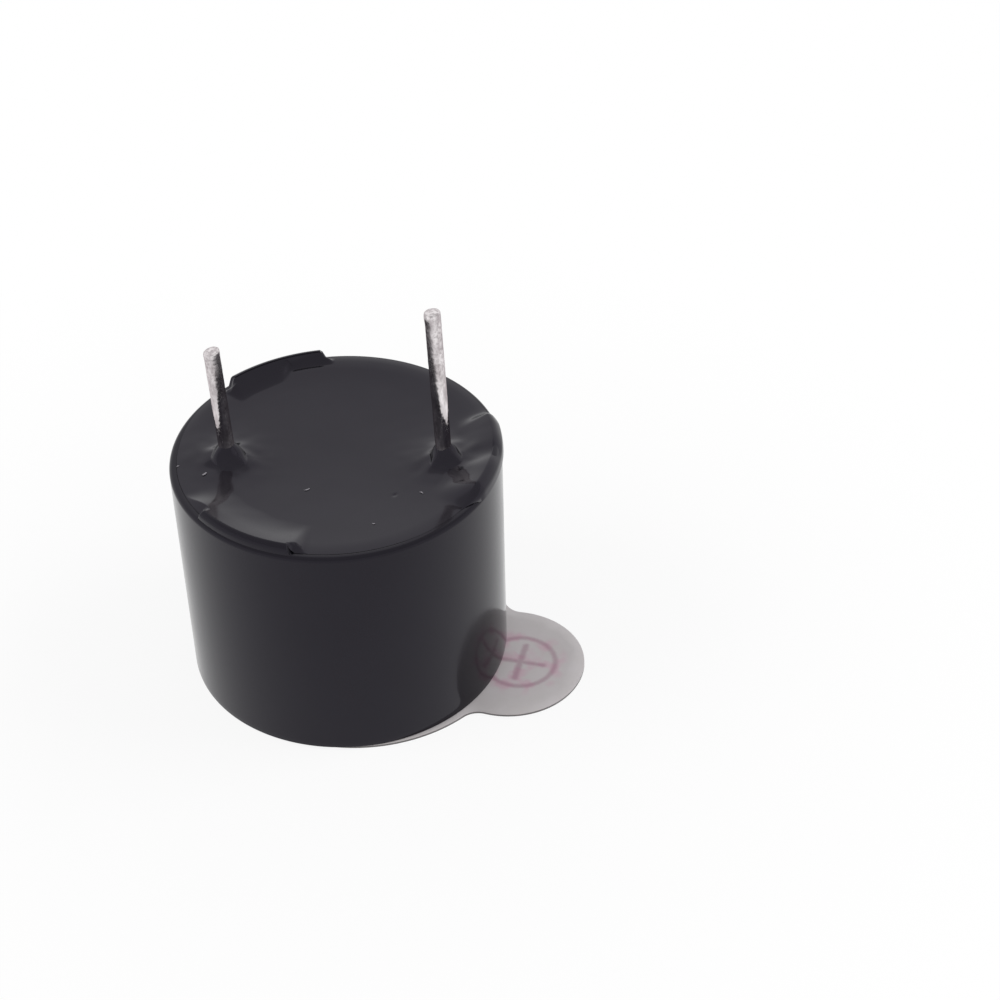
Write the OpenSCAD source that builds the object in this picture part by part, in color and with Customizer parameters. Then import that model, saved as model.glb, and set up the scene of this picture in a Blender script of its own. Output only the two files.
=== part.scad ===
// Magnetic buzzer with its own driving circuit, through-hole, 12 mm across.
// It stands on its sound face, with its terminals upwards.
// The origin is on the axis of the case, at the underside of the washing seal.
// +X points towards the long, positive terminal.

/* [Case] */
// Outer diameter of the case
case_d = 12; // [11.8:0.1:12.4]
// Height of the case from its sound face to its rim
case_h = 9.07; // [9:0.01:9.6]
// Thickness of the sound face
face_t = 0.9; // [0.7:0.1:1]
// Diameter of the sound hole under the seal
sound_hole_d = 2; // [1.6:0.1:2.8]
// Diameter of the air space between the sound face and the diaphragm
air_space_d = 9; // [8.6:0.1:9.2]
// Rounding of the edge round the sound face
face_edge_r = 0.05; // [0.05:0.05:0.3]
// Rounding of the outer edge of the rim
rim_edge_r = 0.12; // [0.04:0.02:0.12]

/* [Board seats] */
// Height of the raised seats above the rim
seat_h = 0.43; // [0.3:0.01:0.5]
// Distance from the outside of the case to the outer face of a seat
seat_inset = 0.06; // [0.02:0.01:0.08]
// Distance from the outside of the case to the inner face of a seat
seat_t = 0.42; // [0.38:0.01:0.45]
// Rounding of the outer edge of a seat
seat_edge_r = 0.2; // [0.05:0.05:0.25]
// Angle that one seat spans
seat_span = 40; // [20:1:60]
// Angle at which the sloped end of a seat comes down
seat_slope = 55; // [40:5:80]

/* [Washing seal] */
// Thickness of the printed film
seal_t = 0.1; // [0.06:0.01:0.15]
// Diameter of the round part that covers the sound face
seal_d = 11.6; // [11.2:0.1:11.8]
// How far the round part was stuck off centre, towards its pull tab
seal_shift = 0.5; // [0:0.1:0.6]
// Diameter of the round pull tab
tab_d = 5.7; // [5:0.1:6.4]
// Distance from the case axis to the centre of the pull tab
tab_reach = 6.3; // [6:0.05:7]
// Direction of the pull tab, from the +X axis
tab_turn = -12.9; // [-40:0.1:40]
// Radius that blends the pull tab into the round part
tab_neck_r = 0.8; // [0.4:0.1:1.2]

/* [Terminals] */
// Diameter of a terminal pin
pin_d = 0.55; // [0.5:0.05:0.7]
// Distance between the two terminals where they leave the circuit board
pin_pitch = 7.75; // [7.6:0.05:7.8]
// Shift of the terminal row along X
pin_shift_x = 0.12; // [-0.15:0.01:0.15]
// Shift of the terminal row along Y
pin_shift_y = -0.26; // [-0.3:0.01:0.3]
// Lean of both terminals, towards -X
pin_lean = 1.75; // [0:0.05:1.8]
// Height of the positive terminal above the board seats
long_pin_h = 5.8; // [4:0.05:7]
// Height of the negative terminal above the board seats
short_pin_h = 4.2; // [3:0.05:6]

/* [Drive] */
// Diameter of the diaphragm
diaphragm_d = 10; // [9.8:0.1:10.1]
// Thickness of the diaphragm
diaphragm_t = 0.08; // [0.05:0.01:0.1]
// Diameter of the iron disc welded to the diaphragm
disc_d = 3.6; // [3:0.1:4.2]
// Thickness of the iron disc
disc_t = 0.25; // [0.2:0.05:0.4]
// Air gap between the diaphragm and the core
air_gap = 0.35; // [0.25:0.05:0.5]
// Diameter of the iron core
core_d = 1.9; // [1.7:0.1:2.1]
// Diameter of the finished coil
coil_d = 5.8; // [5.2:0.1:6]
// Outer diameter of the ring magnet
magnet_d = 9.8; // [9.4:0.1:9.9]
// Inner diameter of the ring magnet
magnet_hole_d = 6.8; // [6.6:0.1:7.2]

/* [Circuit] */
// Thickness of the circuit board
board_t = 0.6; // [0.5:0.1:0.8]
// Diameter of the circuit board
board_d = 10.8; // [10.6:0.1:10.8]
// Distance from the axis to the holes for the coil's wires
wire_hole_reach = 3.15; // [3.1:0.05:3.2]
// Depth of the hollow in the resin, below the rim, on the case axis
resin_dip = 0.35; // [0.2:0.05:0.5]

/* [Hidden] */
$fn = 96;

// Small overlap that makes two shapes of one piece into one solid
merge = 0.05;

// Case: radii and heights, from the sound face up
case_r = case_d / 2;
face_z = seal_t;
inner_face_z = face_z + face_t;
rim_z = face_z + case_h;
seat_z = rim_z + seat_h;
seat_root = 0.3;
seat_turns = [-3.6, 118.2, 239.7];

// Terminals: where each one passes the outer side of the board
terminal_x = pin_pitch / 2;
positive_at = [pin_shift_x + terminal_x, pin_shift_y];
negative_at = [pin_shift_x - terminal_x, pin_shift_y];
pin_r = pin_d / 2;
pin_tip_h = 0.07;
pin_tip_r = pin_r - 0.055;
bare_pin_r = pin_r - 0.02;

// Drive: the pieces are stacked upwards from the ledge that carries the diaphragm
ledge_z = 3.3;
ring_wall = 0.6;
ring_t = 0.6;
yoke_t = 0.7;
magnet_t = 1.52;
ring_z = ledge_z + diaphragm_t;
magnet_z = ring_z + ring_t;
yoke_z = magnet_z + magnet_t;
board_z = yoke_z + yoke_t;
board_top = board_z + board_t;
core_z = ring_z + air_gap;
drive_bore_r = diaphragm_d / 2 + 0.1;
board_bore_r = board_d / 2 + 0.05;
bevel = 0.31;
yoke_d = magnet_d + 0.1;
yoke_notch_r = 0.8;
yoke_hole_r = 0.25;
coil_side_gap = 0.1;

// Coil wires: directions of the start, the tap and the end of the winding
wire_turn = [210, 330, 90];
wire_r = 0.05;
wire_exit_z = yoke_z - 0.35;
wire_end_z = board_top + 0.22;
board_wire_hole_r = 0.2;
board_pin_hole_r = 0.38;

// Board: copper lands, tracks and parts
copper_t = 0.04;
copper_z = board_top;
part_z = copper_z + copper_t;
pin_land_r = 0.75;
wire_land_r = 0.5;
track_w = 0.35;
transistor_at = [0, 0.6];
transistor_size = [2.9, 1.3, 0.95];
transistor_pitch = 1.9;
leg_w = 0.42;
leg_t = 0.12;
leg_reach = 1.2;
leg_foot = 0.4;
resistor_at = [0, -3.2];
resistor_size = [2, 1.25, 0.5];
resistor_end = 0.35;
diode_at = [0, -1.6];
diode_size = [2.2, 1.3, 0.95];
diode_reach = 1.6;
diode_leg_w = 0.6;
lift = 0.08;

// Solder: it fills the board's holes from this height up
fill_z = board_z + board_t / 2;
pin_cone = [0.7, 0.36, 0.55];
wire_cone = [0.42, 0.15, 0.3];

// Resin: a shallow dish that reaches the rim, with a collar round each terminal
resin_edge_z = rim_z - 0.02;
resin_edge_r = board_bore_r + bevel;
resin_low_z = rim_z - resin_dip;
resin_rise = resin_edge_z - resin_low_z;
dish_r = (resin_edge_r * resin_edge_r + resin_rise * resin_rise) / (2 * resin_rise);
collar_r = 0.35;
collar_step = 15;

// Terminals: inside the resin the coat of tin starts, and thickens the wire
tin_start_z = resin_low_z - 0.15;
tin_full_z = resin_low_z + 0.55;

function dish_z(at) = resin_low_z + (at.x * at.x + at.y * at.y) / (2 * dish_r);
function wire_at(i) = wire_hole_reach * [cos(wire_turn[i]), sin(wire_turn[i])];

// ---- Shapes that repeat ----

// Flat ring or disc, from its lowest height
module ring(outer_r, inner_r, low_z, height) {
    translate([0, 0, low_z])
        difference() {
            cylinder(r = outer_r, h = height);
            if (inner_r > 0)
                translate([0, 0, -1])
                    cylinder(r = inner_r, h = height + 2);
        }
}

// Leaning frame of a terminal: its origin is on the outer side of the board
module at_terminal(place) {
    translate([place.x, place.y, board_top])
        rotate([0, -pin_lean, 0])
            children();
}

// Round pin, bare at its root and tinned above, cut off nearly flat
module terminal_pin(place, tip_z) {
    start = board_z + merge - board_top;
    tip = (tip_z - board_top) / cos(pin_lean);
    at_terminal(place)
        rotate_extrude()
            polygon([
                [0, start],
                [bare_pin_r, start],
                [bare_pin_r, tin_start_z - board_top],
                [pin_r, tin_full_z - board_top],
                [pin_r, tip - pin_tip_h],
                [pin_r - 0.02, tip - pin_tip_h * 0.4],
                [pin_tip_r, tip - 0.01],
                [0, tip]
            ]);
}

// Fine wire: out of the side of the coil, then up through the yoke and the board
module coil_wire(i) {
    start_r = coil_d / 2;
    rotate(wire_turn[i]) {
        translate([start_r, 0, wire_exit_z])
            rotate([0, 90, 0])
                cylinder(r = wire_r, h = wire_hole_reach - start_r);
        translate([wire_hole_reach, 0, wire_exit_z])
            sphere(r = wire_r);
        translate([wire_hole_reach, 0, wire_exit_z])
            cylinder(r = wire_r, h = wire_end_z - wire_exit_z);
    }
}

// Straight copper track between two places, with round ends
module track(from, to) {
    reach = norm(to - from);
    translate(from)
        rotate(atan2(to.y - from.y, to.x - from.x)) {
            translate([0, -track_w / 2])
                square([reach, track_w]);
            circle(d = track_w);
            translate([reach, 0])
                circle(d = track_w);
        }
}

// Bent metal leg: up from its foot, then into the body at half height
module leg(width, reach, foot, body_half, body_mid_z) {
    translate([-width / 2, reach - foot, 0])
        cube([width, foot, leg_t]);
    translate([-width / 2, reach - foot, 0])
        cube([width, leg_t, body_mid_z + leg_t]);
    translate([-width / 2, body_half, body_mid_z])
        cube([width, reach - foot - body_half + leg_t, leg_t]);
}

// ---- Case and seal ----

// Half section of the moulded cup, without its seats
module case_section() {
    difference() {
        translate([0, face_z])
            square([case_r, case_h]);
        // rounded edges
        translate([case_r - face_edge_r, face_z])
            corner_cut(face_edge_r, 0);
        translate([case_r - rim_edge_r, rim_z - rim_edge_r])
            corner_cut(rim_edge_r, 1);
        // air space, diaphragm bore and board bore
        translate([-1, inner_face_z])
            square([1 + air_space_d / 2, case_h]);
        translate([-1, ledge_z])
            square([1 + drive_bore_r, case_h]);
        translate([-1, board_z])
            square([1 + board_bore_r, case_h]);
        // bevel inside the rim, which the resin fills
        polygon([
            [board_bore_r - merge, rim_z - bevel - merge],
            [board_bore_r + bevel + merge, rim_z + merge],
            [board_bore_r - merge, rim_z + merge]
        ]);
        // sound hole
        translate([-1, 0])
            square([1 + sound_hole_d / 2, inner_face_z + merge]);
    }
}

// What a rounding takes off a square corner: below (up = 0) or above (up = 1)
module corner_cut(r, up) {
    difference() {
        square([r + merge, r]);
        translate([0, up == 1 ? 0 : r])
            circle(r = r);
    }
    translate([r, 0])
        square([merge, r]);
}

// Raised arc on the rim that keeps the case off the user's board
module board_seat(turn) {
    low = rim_z - seat_root;
    inner_r = case_r - seat_t;
    mid_r = (case_r - seat_inset + inner_r) / 2;
    rotate(turn)
        difference() {
            rotate([0, 0, -seat_span / 2])
                rotate_extrude(angle = seat_span)
                    difference() {
                        translate([inner_r, low])
                            square([seat_t - seat_inset, seat_z - low]);
                        translate([case_r - seat_inset - seat_edge_r, seat_z - seat_edge_r])
                            corner_cut(seat_edge_r, 1);
                    }
            for (side = [-1, 1])
                rotate(side * seat_span / 2)
                    translate([mid_r, 0, rim_z - merge])
                        rotate([side * (90 - seat_slope), 0, 0])
                            translate([-1, side > 0 ? 0 : -2, -merge])
                                cube([2, 2, 2]);
        }
}

module case() {
    color([0.12, 0.12, 0.13]) {
        rotate_extrude()
            case_section();
        for (turn = seat_turns)
            board_seat(turn);
    }
}

// Film that keeps washing fluid out of the sound hole, with a round pull tab
module washing_seal() {
    disc_r = seal_d / 2;
    tab_r = tab_d / 2;
    // centres of the two arcs that blend the tab into the round part
    apart = tab_reach - seal_shift;
    to_disc = disc_r + tab_neck_r;
    to_tab = tab_r + tab_neck_r;
    neck_x = (to_disc * to_disc - to_tab * to_tab + apart * apart) / (2 * apart);
    neck_y = sqrt(to_disc * to_disc - neck_x * neck_x);
    // the waist between the places where those arcs meet the tab and the round part
    waist_start = neck_x * disc_r / to_disc;
    waist_end = apart - (apart - neck_x) * tab_r / to_tab;
    color([0.86, 0.86, 0.84])
        rotate(tab_turn)
            translate([seal_shift, 0, 0]) {
                cylinder(r = disc_r, h = seal_t);
                translate([apart, 0, 0])
                    cylinder(r = tab_r, h = seal_t);
                difference() {
                    translate([waist_start, -neck_y, 0])
                        cube([waist_end - waist_start, 2 * neck_y, seal_t]);
                    for (side = [-1, 1])
                        translate([neck_x, side * neck_y, -1])
                            cylinder(r = tab_neck_r, h = seal_t + 2);
                }
            }
}

// ---- Drive ----

module diaphragm() {
    color([0.75, 0.75, 0.78])
        ring(diaphragm_d / 2, 0, ledge_z, diaphragm_t);
}

module diaphragm_disc() {
    color([0.6, 0.6, 0.63])
        ring(disc_d / 2, 0, ledge_z - disc_t, disc_t);
}

// Plastic ring that clamps the edge of the diaphragm and stands off the magnet
module diaphragm_ring() {
    color([0.2, 0.2, 0.22])
        ring(diaphragm_d / 2, diaphragm_d / 2 - ring_wall, ring_z, ring_t);
}

module ring_magnet() {
    color([0.3, 0.28, 0.27])
        ring(magnet_d / 2, magnet_hole_d / 2, magnet_z, magnet_t);
}

// Iron plate with a hole for the core, notches at the terminals and wire holes
module yoke_plate() {
    color([0.62, 0.62, 0.65])
        difference() {
            ring(yoke_d / 2, core_d / 2, yoke_z, yoke_t);
            for (place = [positive_at, negative_at])
                translate([place.x, place.y, yoke_z - 1])
                    cylinder(r = yoke_notch_r, h = yoke_t + 2);
            for (turn = wire_turn)
                rotate(turn)
                    translate([wire_hole_reach, 0, yoke_z - 1])
                        cylinder(r = yoke_hole_r, h = yoke_t + 2);
        }
}

module iron_core() {
    color([0.55, 0.55, 0.58])
        ring(core_d / 2, 0, core_z, board_z - core_z);
}

module coil_winding() {
    low = core_z + coil_side_gap;
    color([0.72, 0.38, 0.18])
        ring(coil_d / 2, core_d / 2, low, yoke_z - low);
}

module coil_wire_start() {
    color([0.78, 0.4, 0.2])
        coil_wire(0);
}

module coil_wire_tap() {
    color([0.78, 0.4, 0.2])
        coil_wire(1);
}

module coil_wire_end() {
    color([0.78, 0.4, 0.2])
        coil_wire(2);
}

// ---- Circuit ----

module circuit_board() {
    color([0.55, 0.42, 0.2])
        difference() {
            ring(board_d / 2, 0, board_z, board_t);
            for (place = [positive_at, negative_at])
                translate([place.x, place.y, board_z - 1])
                    cylinder(r = board_pin_hole_r, h = board_t + 2);
            for (turn = wire_turn)
                rotate(turn)
                    translate([wire_hole_reach, 0, board_z - 1])
                        cylinder(r = board_wire_hole_r, h = board_t + 2);
        }
}

// One etched foil: lands and tracks that stay apart from each other
module copper_tracks() {
    collector = transistor_at + [0, leg_reach - leg_foot / 2];
    emitter = transistor_at + [-transistor_pitch / 2, leg_foot / 2 - leg_reach];
    base = transistor_at + [transistor_pitch / 2, leg_foot / 2 - leg_reach];
    resistor_x = resistor_size.x / 2 - resistor_end / 2;
    diode_x = diode_reach - 0.2;
    color([0.8, 0.45, 0.25])
        translate([0, 0, copper_z])
            linear_extrude(height = copper_t)
                difference() {
                    union() {
                        for (place = [positive_at, negative_at])
                            translate(place)
                                circle(r = pin_land_r);
                        for (i = [0:2])
                            translate(wire_at(i))
                                circle(r = wire_land_r);
                        for (place = [collector, emitter, base])
                            translate(place)
                                square([0.6, 0.55], center = true);
                        for (side = [-1, 1]) {
                            translate(resistor_at + [side * resistor_x, 0])
                                square([0.7, 1.2], center = true);
                            translate(diode_at + [side * diode_x, 0])
                                square([0.6, 0.8], center = true);
                        }
                        track(positive_at, wire_at(1));
                        track(wire_at(1), diode_at + [diode_x, 0]);
                        track(collector, wire_at(2));
                        track(emitter, negative_at);
                        track(wire_at(0), resistor_at - [resistor_x, 0]);
                    }
                    for (place = [positive_at, negative_at])
                        translate(place)
                            circle(r = board_pin_hole_r);
                    for (i = [0:2])
                        translate(wire_at(i))
                            circle(r = board_wire_hole_r);
                }
}

module transistor_body() {
    size = transistor_size;
    color([0.1, 0.1, 0.1])
        difference() {
            translate([transistor_at.x - size.x / 2, transistor_at.y - size.y / 2, part_z + lift])
                cube(size);
            transistor_leads();
        }
}

module transistor_legs() {
    color([0.8, 0.8, 0.8])
        transistor_leads();
}

// The three legs: one on the far side, two on the near side
module transistor_leads() {
    mid_z = transistor_size.z / 2;
    body_half = transistor_size.y / 2 - 0.2;
    translate([transistor_at.x, transistor_at.y, part_z]) {
        leg(leg_w, leg_reach, leg_foot, body_half, mid_z);
        for (side = [-1, 1])
            translate([side * transistor_pitch / 2, 0, 0])
                rotate(180)
                    leg(leg_w, leg_reach, leg_foot, body_half, mid_z);
    }
}

module resistor_body() {
    length = resistor_size.x - 2 * resistor_end;
    color([0.15, 0.15, 0.17])
        translate([resistor_at.x - length / 2, resistor_at.y - resistor_size.y / 2, part_z])
            cube([length, resistor_size.y, resistor_size.z]);
}

module resistor_ends() {
    color([0.82, 0.82, 0.82])
        for (side = [-1, 1])
            translate([
                resistor_at.x + side * (resistor_size.x - resistor_end) / 2 - resistor_end / 2,
                resistor_at.y - resistor_size.y / 2,
                part_z
            ])
                cube([resistor_end, resistor_size.y, resistor_size.z]);
}

module diode_body() {
    color([0.12, 0.12, 0.12])
        difference() {
            translate([diode_at.x - diode_size.x / 2, diode_at.y - diode_size.y / 2, part_z + lift])
                cube(diode_size);
            diode_leads();
        }
}

module diode_legs() {
    color([0.8, 0.8, 0.8])
        diode_leads();
}

module diode_leads() {
    mid_z = diode_size.z / 2;
    body_half = diode_size.x / 2 - 0.25;
    translate([diode_at.x, diode_at.y, part_z])
        for (side = [-1, 1])
            rotate(side * 90)
                leg(diode_leg_w, diode_reach, leg_foot, body_half, mid_z);
}

// Solder that wets a terminal and its land, and fills the hole round the terminal
module terminal_solder(place) {
    color([0.78, 0.78, 0.8])
        difference() {
            translate([place.x, place.y, 0]) {
                translate([0, 0, part_z])
                    cylinder(r1 = pin_cone[0], r2 = pin_cone[1], h = pin_cone[2]);
                translate([0, 0, fill_z])
                    cylinder(r = board_pin_hole_r, h = part_z - fill_z + merge);
            }
            terminal_pin(place, seat_z + short_pin_h);
        }
}

module solder_positive() {
    terminal_solder(positive_at);
}

module solder_negative() {
    terminal_solder(negative_at);
}

module wire_solder(i) {
    color([0.78, 0.78, 0.8])
        difference() {
            translate([wire_at(i).x, wire_at(i).y, 0]) {
                translate([0, 0, part_z])
                    cylinder(r1 = wire_cone[0], r2 = wire_cone[1], h = wire_cone[2]);
                translate([0, 0, fill_z])
                    cylinder(r = board_wire_hole_r, h = part_z - fill_z + merge);
            }
            coil_wire(i);
        }
}

module solder_wire_start() {
    wire_solder(0);
}

module solder_wire_tap() {
    wire_solder(1);
}

module solder_wire_end() {
    wire_solder(2);
}

module positive_terminal() {
    color([0.72, 0.7, 0.7])
        terminal_pin(positive_at, seat_z + long_pin_h);
}

module negative_terminal() {
    color([0.72, 0.7, 0.7])
        terminal_pin(negative_at, seat_z + short_pin_h);
}

// ---- Resin ----

// Concave collar that creeps up a terminal
module resin_collar(place) {
    foot = [place.x - tan(pin_lean) * (resin_low_z - board_top), place.y];
    at_terminal(place)
        translate([0, 0, (dish_z(foot) - board_top) / cos(pin_lean)])
            rotate_extrude()
                polygon(concat(
                    [[0, -0.3], [pin_r + collar_r, -0.3]],
                    [for (a = [0:collar_step:90])
                        [pin_r + collar_r * (1 - sin(a)), collar_r * (1 - cos(a))]],
                    [[0, collar_r]]
                ));
}

// Half section of the resin: a plug that fills the bevel, under the arc of the dish
module resin_section() {
    difference() {
        polygon([
            [0, board_top],
            [board_bore_r, board_top],
            [board_bore_r, rim_z - bevel],
            [resin_edge_r, rim_z],
            [0, rim_z]
        ]);
        translate([0, resin_low_z + dish_r])
            circle(r = dish_r, $fn = 2880);
    }
}

module potting_resin() {
    color([0.08, 0.08, 0.09])
        difference() {
            union() {
                rotate_extrude()
                    resin_section();
                resin_collar(positive_at);
                resin_collar(negative_at);
            }
            for (turn = seat_turns)
                board_seat(turn);
            copper_tracks();
            transistor_body();
            transistor_legs();
            resistor_body();
            resistor_ends();
            diode_body();
            diode_legs();
            solder_positive();
            solder_negative();
            for (i = [0:2]) {
                wire_solder(i);
                coil_wire(i);
            }
            terminal_pin(positive_at, seat_z + long_pin_h);
            terminal_pin(negative_at, seat_z + short_pin_h);
        }
}

case();
washing_seal();
diaphragm();
diaphragm_disc();
diaphragm_ring();
ring_magnet();
yoke_plate();
iron_core();
coil_winding();
coil_wire_start();
coil_wire_tap();
coil_wire_end();
circuit_board();
copper_tracks();
transistor_body();
transistor_legs();
resistor_body();
resistor_ends();
diode_body();
diode_legs();
solder_positive();
solder_negative();
solder_wire_start();
solder_wire_tap();
solder_wire_end();
positive_terminal();
negative_terminal();
potting_resin();
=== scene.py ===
import math

import bpy
from mathutils import Matrix, Vector, noise
from mathutils.geometry import delaunay_2d_cdt


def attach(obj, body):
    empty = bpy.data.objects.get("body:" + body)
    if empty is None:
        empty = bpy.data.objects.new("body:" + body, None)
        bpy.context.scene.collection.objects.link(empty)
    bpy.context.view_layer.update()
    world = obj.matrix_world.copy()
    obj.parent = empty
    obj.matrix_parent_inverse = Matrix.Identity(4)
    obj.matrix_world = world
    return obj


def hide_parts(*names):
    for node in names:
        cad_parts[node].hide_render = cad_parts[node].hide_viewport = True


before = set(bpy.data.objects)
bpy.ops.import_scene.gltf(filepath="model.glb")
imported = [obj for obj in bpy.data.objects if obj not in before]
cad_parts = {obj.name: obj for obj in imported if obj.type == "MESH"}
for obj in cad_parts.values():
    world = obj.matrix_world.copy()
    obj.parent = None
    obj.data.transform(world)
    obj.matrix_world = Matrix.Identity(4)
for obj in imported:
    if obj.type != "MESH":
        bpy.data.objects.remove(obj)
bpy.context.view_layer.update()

# ---- Sizes in millimetres. Rim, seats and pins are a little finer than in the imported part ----

MM = 0.001
CASE_R = 6.0
FACE_Z = 0.1
INNER_FACE_Z = 1.0
LEDGE_Z = 3.3
BOARD_Z = 6.2
BOARD_TOP = 6.8
RIM_Z = 9.19
SOUND_HOLE_R = 1.0
AIR_SPACE_R = 4.5
DRIVE_BORE_R = 5.1
BOARD_BORE_R = 5.45
RIM_IN_R = 5.72
FACE_ROUND = 0.06
RIM_ROUND = 0.16

# board seats: (direction in degrees, height of the top, radius of the outer face)
SEATS = ((-3.6, 9.6, 5.93), (118.2, 9.64, 5.91), (239.7, 9.54, 5.9))
SEAT_WIDE = 0.26
SEAT_OUT_ROUND = 0.23
SEAT_IN_ROUND = 0.03
SEAT_END_ROUND = 0.1
SEAT_HALF = 20.0
SEAT_SLOPE = math.tan(math.radians(66))
SEAT_END_Z = RIM_Z - 0.05

# washing film: a disc and a round tab beside it, joined by a small neck on each side
FILM_T = 0.1
FILM_R = 5.8
FILM_SHIFT = 0.5
FILM_TURN = math.radians(-12.9)
TAB_R = 2.85
TAB_APART = 5.8
NECK_R = 0.8

PIN_R = 0.285
PIN_LEAN = math.radians(-1.75)
POSITIVE_AT = (3.995, -0.26)
NEGATIVE_AT = (-3.8, -0.26)
POSITIVE_TIP = 15.4
NEGATIVE_TIP = 13.8

# the resin's surface: height in the middle, and radius of the shallow dish that it forms
RESIN_LOW = 8.91
DISH_R = 50.43


# ---- Small helpers ----

def srgb(code):
    """Linear colour of a hex code such as 1a2b3c."""
    values = [int(code[i:i + 2], 16) / 255 for i in (0, 2, 4)]
    linear = [v / 12.92 if v <= 0.04045 else ((v + 0.055) / 1.055) ** 2.4 for v in values]
    return (*linear, 1.0)


def per(size_mm):
    """Scale of a pattern whose features are this many millimetres across."""
    return 1 / (size_mm * MM)


def smooth(x):
    """0 below 0, 1 above 1, and an even curve between."""
    x = min(max(x, 0.0), 1.0)
    return x * x * (3 - 2 * x)


def wander(x, y, seed, size_mm):
    """Smooth random value from -1 to 1 at a place in millimetres."""
    return noise.noise(Vector((x / size_mm, y / size_mm, seed * 7.3)))


def polar(r, turn):
    """Place (x, y) at a radius, in a direction in degrees."""
    return r * math.cos(math.radians(turn)), r * math.sin(math.radians(turn))


def add(tree, kind, links=None, **settings):
    """Adds a shader node with its settings, and sets or links its inputs by name or number.

    A colour Mix takes its share at 0 and its two colours at 6 and 7, and gives the result at 2.
    Map Range takes its value at 0, the range that it comes from at 1 and 2, and the new one at 3 and 4.
    """
    made = tree.nodes.new("ShaderNode" + kind)
    for name, value in settings.items():
        setattr(made, name, value)
    for slot, value in (links or {}).items():
        if isinstance(value, bpy.types.NodeSocket):
            tree.links.new(value, made.inputs[slot])
        else:
            made.inputs[slot].default_value = value
    return made


def start_material(name):
    """An empty material: (material, its node tree, the place on the piece in metres)."""
    material = bpy.data.materials.new(name)
    material.use_nodes = True
    tree = material.node_tree
    tree.nodes.clear()
    return material, tree, add(tree, "TexCoord").outputs["Object"]


def end_material(tree, surface):
    """Shows a surface on the outside of the piece."""
    add(tree, "OutputMaterial", {"Surface": surface.outputs[0]})


def make_piece(name, points, faces, material, node=None, sharp=35.0):
    """A mesh from points in millimetres, smooth except at sharp edges, riding on the body."""
    mesh = bpy.data.meshes.new(name)
    mesh.from_pydata([[v * MM for v in p] for p in points], [], faces)
    mesh.validate()
    mesh.shade_smooth()
    mesh.set_sharp_from_angle(angle=math.radians(sharp))
    mesh.materials.append(material)
    piece = bpy.data.objects.new(name, mesh)
    bpy.context.scene.collection.objects.link(piece)
    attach(piece, "root")
    if node:
        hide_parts(node)
    return piece


def ring_faces(rows, columns, close_rows=False):
    """Quads between rows of points that run once round; close_rows joins the last row to the first."""
    last = rows if close_rows else rows - 1
    return [
        (
            i * columns + j,
            i * columns + (j + 1) % columns,
            (i + 1) % rows * columns + (j + 1) % columns,
            (i + 1) % rows * columns + j,
        )
        for i in range(last)
        for j in range(columns)
    ]


def fan_faces(middle, first, columns, flip=False):
    """Triangles from a middle point to a row of points that runs once round."""
    faces = [(first + j, first + (j + 1) % columns, middle) for j in range(columns)]
    return [face[::-1] for face in faces] if flip else faces


def angles(step, dense):
    """Directions round a circle: every step, and closer within each dense (from, to, step)."""
    found = [step * i for i in range(round(360 / step))]
    for low, high, fine in dense:
        span = high - low
        count = round(span / fine)
        found = [a for a in found if span + fine / 2 < (a - low) % 360 < 360 - fine / 2]
        found += [(low + span * i / count) % 360 for i in range(count + 1)]
    return sorted(found)


def stations(*runs):
    """Values along a line from runs of (start, end, how many)."""
    found = []
    for start, end, count in runs:
        found += [start + (end - start) * i / count for i in range(count)]
    return found + [runs[-1][1]]


# ---- Materials of the pieces that show ----

def pbt_moulded_black():
    # PBT, injection moulded in a polished tool: near black, satin gloss with a faint ripple
    material, tree, place = start_material("pbt_moulded_black")
    cloud = add(tree, "TexNoise", {"Vector": place, "Scale": per(2.5), "Detail": 3.0})
    ripple = add(tree, "TexNoise", {"Vector": place, "Scale": per(0.4), "Detail": 2.0})
    grain = add(tree, "TexNoise", {"Vector": place, "Scale": per(0.05), "Detail": 2.0})
    colour = add(
        tree, "Mix", {0: cloud.outputs[0], 6: srgb("121115"), 7: srgb("18171c")}, data_type="RGBA"
    )
    rough = add(tree, "MapRange", {0: cloud.outputs[0], 1: 0.3, 2: 0.7, 3: 0.1, 4: 0.17})
    soft = add(tree, "Bump", {"Strength": 1.0, "Distance": 0.0007 * MM, "Height": ripple.outputs[0]})
    fine = add(
        tree,
        "Bump",
        {"Strength": 1.0, "Distance": 0.0004 * MM, "Height": grain.outputs[0], "Normal": soft.outputs[0]},
    )
    surface = add(
        tree,
        "BsdfPrincipled",
        {
            "Base Color": colour.outputs[2],
            "Roughness": rough.outputs[0],
            "Normal": fine.outputs[0],
            "IOR": 1.5,
            "Specular IOR Level": 0.25,
            "Specular Tint": srgb("efe7ff"),
        },
    )
    end_material(tree, surface)
    return material


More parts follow.
